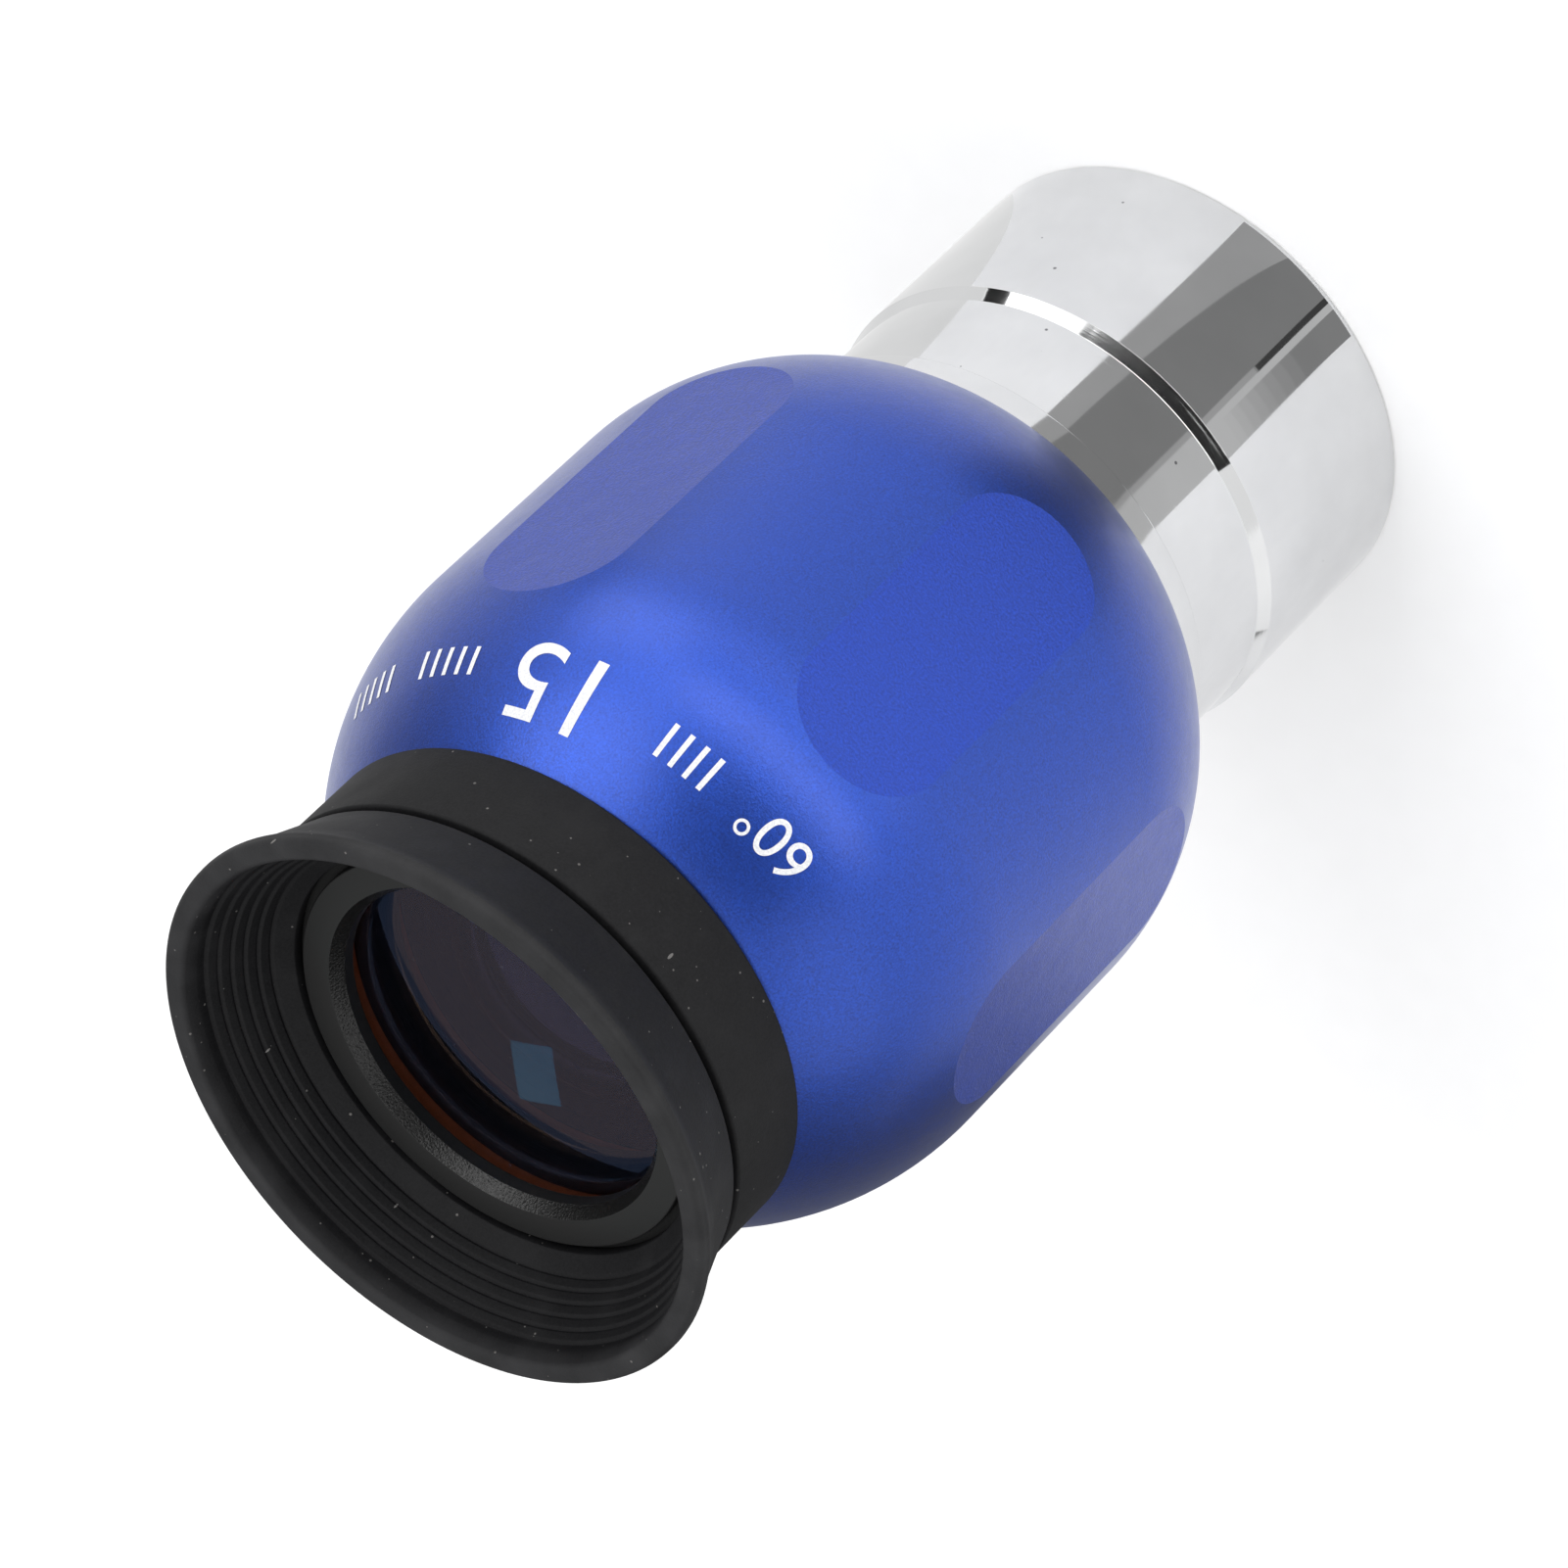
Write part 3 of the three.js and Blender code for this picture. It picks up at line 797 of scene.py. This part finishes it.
def add_eyecup():
    sleeve_r, sleeve_bottom, sleeve_top = reach("eyecup_sleeve")
    _, skirt_bottom, skirt_top = reach("eyecup_skirt")
    rim_r, rim_bottom, rim_top = reach("eyecup_rim")
    inner_r = NECK_R + SLIDE_GAP
    bead_r = NECK_GROOVE_R + SLIDE_GAP
    neck_top = reach("body_shell")[2] + SLIDE_GAP
    corners = [
        (inner_r, sleeve_bottom, 0.1),
        (sleeve_r, sleeve_bottom, 0.22),
        (sleeve_r, sleeve_top - GROOVE_LOWER_FLANK, 0.22),
        (FOLD_GROOVE_R, sleeve_top + 0.02, 0.04),
        (FOLD_GROOVE_R, skirt_bottom, 0.04),
        (sleeve_r - 0.02, skirt_bottom + GROOVE_UPPER_FLANK, 0.15),
        (rim_r - FLARE_END[0], skirt_top - FLARE_END[1], FLARE_ROUNDING),
        (rim_r, rim_top - LIP_EDGE_HEIGHT, 0.5),
        (rim_r - 0.05, rim_top, 0.42),
        (RIBS_TOP[0] + LIP_FACE_WIDTH, rim_top, 0.4),
        (RIBS_TOP[0] + LIP_BEVEL[0], RIBS_TOP[1] + LIP_BEVEL[1], 0.15),
    ]
    step_r = (RIBS_TOP[0] - RIBS_BOTTOM[0]) / (RIB_COUNT - 1)
    step_z = (RIBS_TOP[1] - RIBS_BOTTOM[1]) / (RIB_COUNT - 1)
    for i in range(RIB_COUNT):
        r = RIBS_TOP[0] - i * step_r
        z = RIBS_TOP[1] - i * step_z
        corners.append((r + RIB_DEPTH, z + step_z * 0.22, 0.05))
        corners.append((r, z + step_z * 0.08, 0.08))
        corners.append((r - step_r * 0.5, z - step_z * 0.62, 0.12))
    corners += [
        (RIBS_BOTTOM[0] + RIB_DEPTH - step_r, RIBS_BOTTOM[1] - step_z * 0.8, 0.05),
        (RIBS_BOTTOM[0] - step_r, RIBS_BOTTOM[1] - step_z, 0.1),
        (WEB_R, sleeve_top + 0.12, 0.15),
        (WEB_R, neck_top, 0.1),
        (inner_r, neck_top),
        (inner_r, NECK_GROOVE_Z[1] - SLIDE_GAP),
        (bead_r, NECK_GROOVE_Z[1] - SLIDE_GAP, 0.15),
        (bead_r, NECK_GROOVE_Z[0] + SLIDE_GAP, 0.15),
        (inner_r, NECK_GROOVE_Z[0] + SLIDE_GAP),
    ]
    piece = turned("rubber_eyecup", corners, [rubber])
    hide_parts("eyecup_sleeve", "eyecup_skirt", "eyecup_rim")
    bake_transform(piece)


# ---------------------------------------------------------------- ring, cells and lenses


def add_retaining_ring():
    ring_r, bottom, top = reach("eye_lens_retaining_ring")
    thread_r = BODY_BORE_R - SLIDE_GAP
    flange_z = reach("body_shell")[2] + SLIDE_GAP / 2
    blasted = 1
    piece = turned(
        "black_retaining_ring",
        [
            (RING_BORE_R, bottom, 0.1),
            (thread_r, bottom, 0.2),
            (thread_r, flange_z),
            (ring_r, flange_z, 0.05),
            (ring_r, top, 0.12),
            (RING_CHAMFER_R, top, 0.03, blasted),
            (RING_BORE_R, RING_CHAMFER_Z, 0.03),
        ],
        [satin_black, blasted_black],
    )
    put_on_body(piece, "body", "black_metal", "eye_lens_retaining_ring")


def add_lens(node, body, slot_name, glass):
    edge_r = reach(node)[0]
    bottom, top = LENSES[node]
    piece = turned(node + "_glass", lens_outline(bottom, top, edge_r), [glass, edge_paint_and_glow, cement])
    put_on_body(piece, body, slot_name, node)


def add_black_tube(node, body, inner_r):
    radius, bottom, top = reach(node)
    piece = turned(node + "_turned", tube(inner_r, radius, bottom, top), [baffle_and_painted_shade_black])
    put_on_body(piece, body, "black_metal", node)


def add_lens_cell():
    radius, bottom, top = reach("lens_cell")
    piece = turned(
        "lens_cell_turned",
        [
            (STOP_BORE_R, bottom, 0.1),
            (radius, bottom, 0.2),
            (radius, top, 0.2),
            (CELL_BORE_R, top, 0.1),
            (CELL_BORE_R, CELL_SHOULDER_Z[1]),
            (CELL_SHOULDER_R, CELL_SHOULDER_Z[1], 0.1),
            (CELL_SHOULDER_R, CELL_SHOULDER_Z[0], 0.1),
            (STOP_BORE_R, CELL_SHOULDER_Z[0]),
        ],
        [baffle_and_painted_shade_black],
    )
    put_on_body(piece, "lens_stack", "black_metal", "lens_cell")


def add_field_stop():
    radius, bottom, top = reach("field_stop")
    piece = turned(
        "field_stop_turned",
        [
            (STOP_R + STOP_BEVEL, bottom, 0.05),
            (radius, bottom, 0.05),
            (radius, top, 0.05),
            (STOP_R, top, 0.03),
        ],
        [baffle_and_painted_shade_black],
    )
    put_on_body(piece, "lens_stack", "black_metal", "field_stop")


def add_field_lens_cell():
    radius, bottom, top = reach("field_lens_cell")
    piece = turned(
        "field_lens_cell_turned",
        [
            (FIELD_BORE_R, bottom, 0.15),
            (radius, bottom, 0.2),
            (radius, top, 0.2),
            (FIELD_TOP_BORE_R, top, 0.15),
            (FIELD_TOP_BORE_R, FIELD_SEAT_Z, 0.05),
            (FIELD_BORE_R, FIELD_SEAT_Z),
        ],
        [baffle_and_painted_shade_black],
    )
    put_on_body(piece, "barrel", "black_metal", "field_lens_cell")


# ---------------------------------------------------------------- printed marks


# The ink's thickness, the grid that flat marks are cut along, the bars, and how high a figure is in
# parts of its font's size.
INK_THICKNESS = 0.02
PRINT_CELL = 0.35
BAR_WIDTH = 0.32
BAR_SPACING = 1.05
FIGURE_HEIGHT_SHARE = 0.73

# Name, text or number of bars, height, angle of the middle from +X in degrees, and the foot's z.
NUMERALS = (
    ("numeral_large", "15", 5.1, -48, 59.7),
    ("numeral_small", "60\N{DEGREE SIGN}", 2.6, -93.5, 60.5),
)
BAR_GROUPS = (
    ("bars_left", 4, 2.2, -74, 60.6),
    ("bars_middle", 5, 1.8, -23, 60.5),
    ("bars_right", 5, 1.8, -1, 60.5),
)


def text_mesh(text, height):
    """Flat figures as a bmesh in millimetres, centred in width and standing on y = 0."""
    curve = bpy.data.curves.new("marking", "FONT")
    curve.body = text
    curve.size = height / FIGURE_HEIGHT_SHARE
    curve.align_x = "CENTER"
    flat = bpy.data.objects.new("marking", curve)
    bpy.context.scene.collection.objects.link(flat)
    mesh = bpy.data.meshes.new_from_object(flat.evaluated_get(bpy.context.evaluated_depsgraph_get()))
    bm = bmesh.new()
    bm.from_mesh(mesh)
    bpy.data.objects.remove(flat)
    bpy.data.meshes.remove(mesh)
    return bm


def slice_fine(bm):
    """Cuts flat marks along a square grid, so that they can follow a curved surface."""
    for axis in ((1, 0, 0), (0, 1, 0)):
        direction = Vector(axis)
        reaches = [direction.dot(v.co) for v in bm.verts]
        level = math.floor(min(reaches) / PRINT_CELL) * PRINT_CELL
        while level < max(reaches):
            everything = bm.verts[:] + bm.edges[:] + bm.faces[:]
            bmesh.ops.bisect_plane(bm, geom=everything, plane_co=direction * level, plane_no=direction)
            level += PRINT_CELL


def bars_mesh(count, height):
    """Upright bars side by side, laid out like text_mesh."""
    bm = bmesh.new()
    for i in range(count):
        x = (i - (count - 1) / 2) * BAR_SPACING
        corners = (
            (x - BAR_WIDTH / 2, 0, 0),
            (x + BAR_WIDTH / 2, 0, 0),
            (x + BAR_WIDTH / 2, height, 0),
            (x - BAR_WIDTH / 2, height, 0),
        )
        bm.faces.new([bm.verts.new(corner) for corner in corners])
    return bm


def add_marks(name, bm, height, angle, foot_z):
    """Prints flat marks on the upper shoulder. They read upright, from left to right."""
    radius, _ = shell_shape()
    slice_fine(bm)
    start = math.asin((foot_z - UPPER_ARC_Z) / UPPER_ARC_R)
    middle_r = shoulder(start + height / 2 / UPPER_ARC_R, True, radius)[0]
    for vert in bm.verts:
        meridian = start + vert.co.y / UPPER_ARC_R
        r, z = shoulder(meridian, True, radius)
        r += INK_THICKNESS * math.cos(meridian)
        z += INK_THICKNESS * math.sin(meridian)
        around = math.radians(angle) + vert.co.x / middle_r
        vert.co = Vector((r * math.cos(around), r * math.sin(around), z)) * MM
    mesh = bpy.data.meshes.new(name)
    bm.to_mesh(mesh)
    bm.free()
    mesh.materials.append(ink)
    piece = bpy.data.objects.new(name, mesh)
    bpy.context.scene.collection.objects.link(piece)
    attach(piece, "body")


# ---------------------------------------------------------------- camera, floor and light


# Floor, lights and cards, in metres and degrees.
FLOOR_SIZE = 6
LIGHT_CENTRE = Vector((0, 0, 0.05))
WORLD_STRENGTH = 0.45
CARD_COLUMNS = 17
CARD_LIFT = 0.0004

# Name, azimuth, elevation, distance, width and height, radiance.
SOFTBOXES = (
    ("right_softbox", 60, 30, 0.8, (0.66, 0.5), 2.6),
    ("left_softbox", -62, 22, 0.8, (0.8, 0.5), 1.0),
    ("top_softbox", 180, 88, 1.0, (1.6, 1.6), 1.2),
)

# The window's two sides, to the right and upwards.
WINDOW_SIDES = ((0.024, 0.038), (0.028, -0.062))
WINDOW_TINT = (0.5, 1.0, 0.92)

# Name, azimuths, heights, distance, radiance.
FLAGS = (
    ("edge_flag", (-31, 44), (0.020, 0.045), 0.15, 0.02),
    ("front_wall", (-28.5, 42), (0, 0.11), 0.6, 5.2),
    ("gap_flag", (-28, 12), (0.12, 0.62), 0.6, 0.25),
    ("low_card", (42, 77.6), (0, 0.2), 0.6, 1.6),
    ("right_wall", (77.6, 105), (0, 0.3), 0.6, 0.9),
    ("left_wall", (-80, -28.5), (0, 0.12), 0.6, 1.0),
    ("back_flag", (200, 250), (0, 0.32), 0.5, 0.2),
)

# Name, azimuths, distances, radiance.
FLOOR_CARDS = (
    ("front_floor_card", (-28.5, 77.6), (0.16, 0.59), 3.2),
    ("near_floor_card", (-28.5, 50), (0.056, 0.14), 1.1),
    ("tip_card", (77.6, 86), (0.08, 0.25), 0.03),
    ("right_floor_card", (86.5, 198), (0.016, 0.5), 0.92),
    ("back_floor_card", (200, 262), (0.07, 0.49), 0.2),
)

# Stripes in the barrel: the azimuths of the surface where the light, glint, line and dark stripes
# start, the border between the dark and the middle stripe at its lower and upper end, and where the
# middle stripe ends. Distances are on the floor, from the barrel.
STRIPE_STARTS = (-15.6, -8.4, -6.7, -5.2)
LEANING_BORDER = (6.6, 14)
STRIPES_END = 19.2
STRIPES_REACH = 0.038
LINE_REACH = 0.009
FADE_REACH = (0.004, 0.016)
FADE_STEPS = 9
STRIPE_LIGHT = 0.60
STRIPE_MIDDLE = 0.42
STRIPE_DARK = 0.25
STRIPE_BLACK = 0.06


def upright(direction):
    """Right and up directions of a level camera that looks along a direction."""
    right = direction.cross(Vector((0, 0, 1))).normalized()
    return right, right.cross(direction)


def seen_from(azimuth, elevation):
    """Unit vector from the target towards an onlooker. Azimuth 0 is on the -Y side."""
    a = math.radians(azimuth)
    e = math.radians(elevation)
    return Vector((math.sin(a) * math.cos(e), -math.cos(a) * math.cos(e), math.sin(e)))


def add_camera():
    data = bpy.data.cameras.new("camera")
    data.lens = CAMERA_LENS
    data.sensor_width = CAMERA_SENSOR
    camera = bpy.data.objects.new("camera", data)
    bpy.context.scene.collection.objects.link(camera)
    towards = seen_from(CAMERA_AZIMUTH, CAMERA_ELEVATION)
    right, up = upright(-towards)
    roll = math.radians(CAMERA_ROLL)
    rolled_up = up * math.cos(roll) + right * math.sin(roll)
    rolled_right = rolled_up.cross(towards)
    turn = Matrix((rolled_right, rolled_up, towards)).transposed().to_4x4()
    place = (Vector(CAMERA_TARGET) + towards * CAMERA_DISTANCE) * MM
    camera.matrix_world = Matrix.Translation(place) @ turn
    bpy.context.scene.camera = camera


def add_floor():
    bpy.ops.mesh.primitive_grid_add(x_subdivisions=8, y_subdivisions=8, size=FLOOR_SIZE)
    floor = bpy.context.object
    floor.name = "floor"
    floor.data.materials.append(pale_floor())


def add_softbox(name, azimuth, elevation, distance, size, radiance):
    """A rectangular soft light that faces the middle of the object."""
    width, height = size
    data = bpy.data.lights.new(name, "AREA")
    data.shape = "RECTANGLE"
    data.size = width
    data.size_y = height
    data.energy = radiance * math.pi * width * height
    light = bpy.data.objects.new(name, data)
    bpy.context.scene.collection.objects.link(light)
    towards = seen_from(azimuth, elevation)
    right, up = upright(-towards)
    turn = Matrix((right, up, towards)).transposed().to_4x4()
    light.matrix_world = Matrix.Translation(LIGHT_CENTRE + towards * distance) @ turn
    light.visible_camera = False


def add_card(name, points, columns, radiance, color=(1, 1, 1)):
    """A card that only shows in reflections, to lighten or darken what glossy surfaces mirror. Its
    points come in rows of `columns`."""
    faces = []
    for start in range(0, len(points) - columns, columns):
        for i in range(start, start + columns - 1):
            faces.append((i, i + 1, i + columns + 1, i + columns))
    mesh = bpy.data.meshes.new(name)
    mesh.from_pydata([tuple(p) for p in points], [], faces)
    material = bpy.data.materials.new(name)
    material.use_nodes = True
    shader = material.node_tree.nodes["Principled BSDF"]
    shader.inputs["Base Color"].default_value = (0, 0, 0, 1)
    shader.inputs["Specular IOR Level"].default_value = 0
    shader.inputs["Emission Color"].default_value = (*color, 1)
    shader.inputs["Emission Strength"].default_value = radiance
    mesh.materials.append(material)
    card = bpy.data.objects.new(name, mesh)
    bpy.context.scene.collection.objects.link(card)
    card.visible_camera = False
    card.visible_diffuse = False
    card.visible_transmission = False
    card.visible_shadow = False


def add_window_card(name, azimuth, elevation, distance, sides, radiance, color):
    """A small tinted card that faces the object and shows in its eye lens. Each side is given by
    how far it goes to the right and upwards."""
    towards = seen_from(azimuth, elevation)
    right, up = upright(-towards)
    centre = LIGHT_CENTRE + towards * distance
    first, second = (right * side[0] + up * side[1] for side in sides)
    points = []
    for i in (-0.5, 0.5):
        for j in (-0.5, 0.5):
            points.append(centre + first * i + second * j)
    add_card(name, points, 2, radiance, color)


def add_flag(name, azimuths, heights, distance, radiance):
    """An upright curved card round the axis, between two azimuths and two heights."""
    points = []
    for height in heights:
        for i in range(CARD_COLUMNS):
            azimuth = azimuths[0] + (azimuths[1] - azimuths[0]) * i / (CARD_COLUMNS - 1)
            points.append(seen_from(azimuth, 0) * distance + Vector((0, 0, height)))
    add_card(name, points, CARD_COLUMNS, radiance)


def add_floor_card(name, azimuths, distances, radiance):
    """A card on the floor between two azimuths and two distances from the axis."""
    points = []
    for j in range(2):
        for i in range(CARD_COLUMNS):
            azimuth = azimuths[0] + (azimuths[1] - azimuths[0]) * i / (CARD_COLUMNS - 1)
            points.append(seen_from(azimuth, 0) * distances[j] + Vector((0, 0, CARD_LIFT)))
    add_card(name, points, CARD_COLUMNS, radiance)


def add_barrel_card(name, near_normals, far_normals, distances, radiance):
    """A card on the floor that the barrel mirrors, for the camera, as a stripe up its side. The
    stripe lies between two directions of the barrel's surface, at its lower and upper end. The
    card's distances from the barrel set how high up the stripe begins and ends."""
    radius = reach("barrel")[0] * MM
    points = []
    for distance, normals in zip(distances, (near_normals, far_normals)):
        for normal in normals:
            outward = seen_from(normal, 0)
            mirrored = seen_from(2 * normal - CAMERA_AZIMUTH, 0)
            points.append(outward * radius + mirrored * distance + Vector((0, 0, CARD_LIFT)))
    add_card(name, points, 2, radiance)


def add_barrel_stripes():
    """Grey stripes in the chrome: a light one that darkens downwards, a thin dark line beside a thin
    light one, and a dark and a middle one whose border leans."""
    light_start, glint_start, line_start, dark_start = STRIPE_STARTS
    light = (light_start, glint_start)
    glint = (glint_start, line_start)
    line = (line_start, dark_start)
    dark_low, dark_high = ((dark_start, border) for border in LEANING_BORDER)
    middle_low, middle_high = ((border, STRIPES_END) for border in LEANING_BORDER)
    far = STRIPES_REACH
    fade_start, fade_end = FADE_REACH
    add_barrel_card("light_stripe", light, light, (fade_end, far), STRIPE_LIGHT)
    for i in range(FADE_STEPS):
        step = (fade_end - fade_start) / FADE_STEPS
        near = fade_start + i * step if i else 0
        share = (i + 0.5) / FADE_STEPS
        add_barrel_card(
            "fading_stripe_" + str(i + 1),
            light,
            light,
            (near, fade_start + (i + 1) * step),
            STRIPE_DARK + (STRIPE_LIGHT - STRIPE_DARK) * share,
        )
    add_barrel_card("glint_stripe", glint, glint, (0, far), STRIPE_LIGHT)
    add_barrel_card("line_stripe", line, line, (0, LINE_REACH), STRIPE_BLACK)
    add_barrel_card("line_end_stripe", line, line, (LINE_REACH, far), STRIPE_MIDDLE)
    add_barrel_card("dark_stripe", dark_low, dark_high, (0, far), STRIPE_DARK)
    add_barrel_card("middle_stripe", middle_low, middle_high, (0, far), STRIPE_MIDDLE)


def add_world():
    world = bpy.data.worlds.new("studio")
    world.use_nodes = True
    background = world.node_tree.nodes["Background"]
    background.inputs["Color"].default_value = (1.0, 1.0, 1.0, 1)
    background.inputs["Strength"].default_value = WORLD_STRENGTH
    bpy.context.scene.world = world


add_camera()
add_floor()
add_world()
for softbox in SOFTBOXES:
    add_softbox(*softbox)
add_window_card(
    "window_card",
    azimuth=186.4,
    elevation=36,
    distance=0.7,
    sides=WINDOW_SIDES,
    radiance=1.7,
    color=WINDOW_TINT,
)
for flag in FLAGS:
    add_flag(*flag)
for card in FLOOR_CARDS:
    add_floor_card(*card)
add_barrel_stripes()

add_barrel()
add_body_shell()
add_eyecup()
add_retaining_ring()
add_lens("eye_lens", "lens_stack", "coated_glass", eye_glass)
add_lens_cell()
add_black_tube("upper_spacer", "lens_stack", UPPER_SPACER_R)
add_lens("doublet_crown", "lens_stack", "inner_glass", inner_glass)
add_lens("doublet_flint", "lens_stack", "inner_glass", inner_glass)
add_black_tube("lower_spacer", "lens_stack", LOWER_SPACER_R)
add_lens("middle_lens", "lens_stack", "inner_glass", inner_glass)
add_field_stop()
add_black_tube("field_stop_ring", "lens_stack", STOP_RING_R)
add_field_lens_cell()
add_lens("field_flint", "barrel", "inner_glass", inner_glass)
add_lens("field_crown", "barrel", "inner_glass", inner_glass)
add_black_tube("field_lens_retaining_ring", "barrel", FIELD_TOP_BORE_R)
for name, text, height, angle, foot_z in NUMERALS:
    add_marks(name, text_mesh(text, height), height, angle, foot_z)
for name, count, height, angle, foot_z in BAR_GROUPS:
    add_marks(name, bars_mesh(count, height), height, angle, foot_z)

bpy.context.scene.view_settings.view_transform = "Standard"
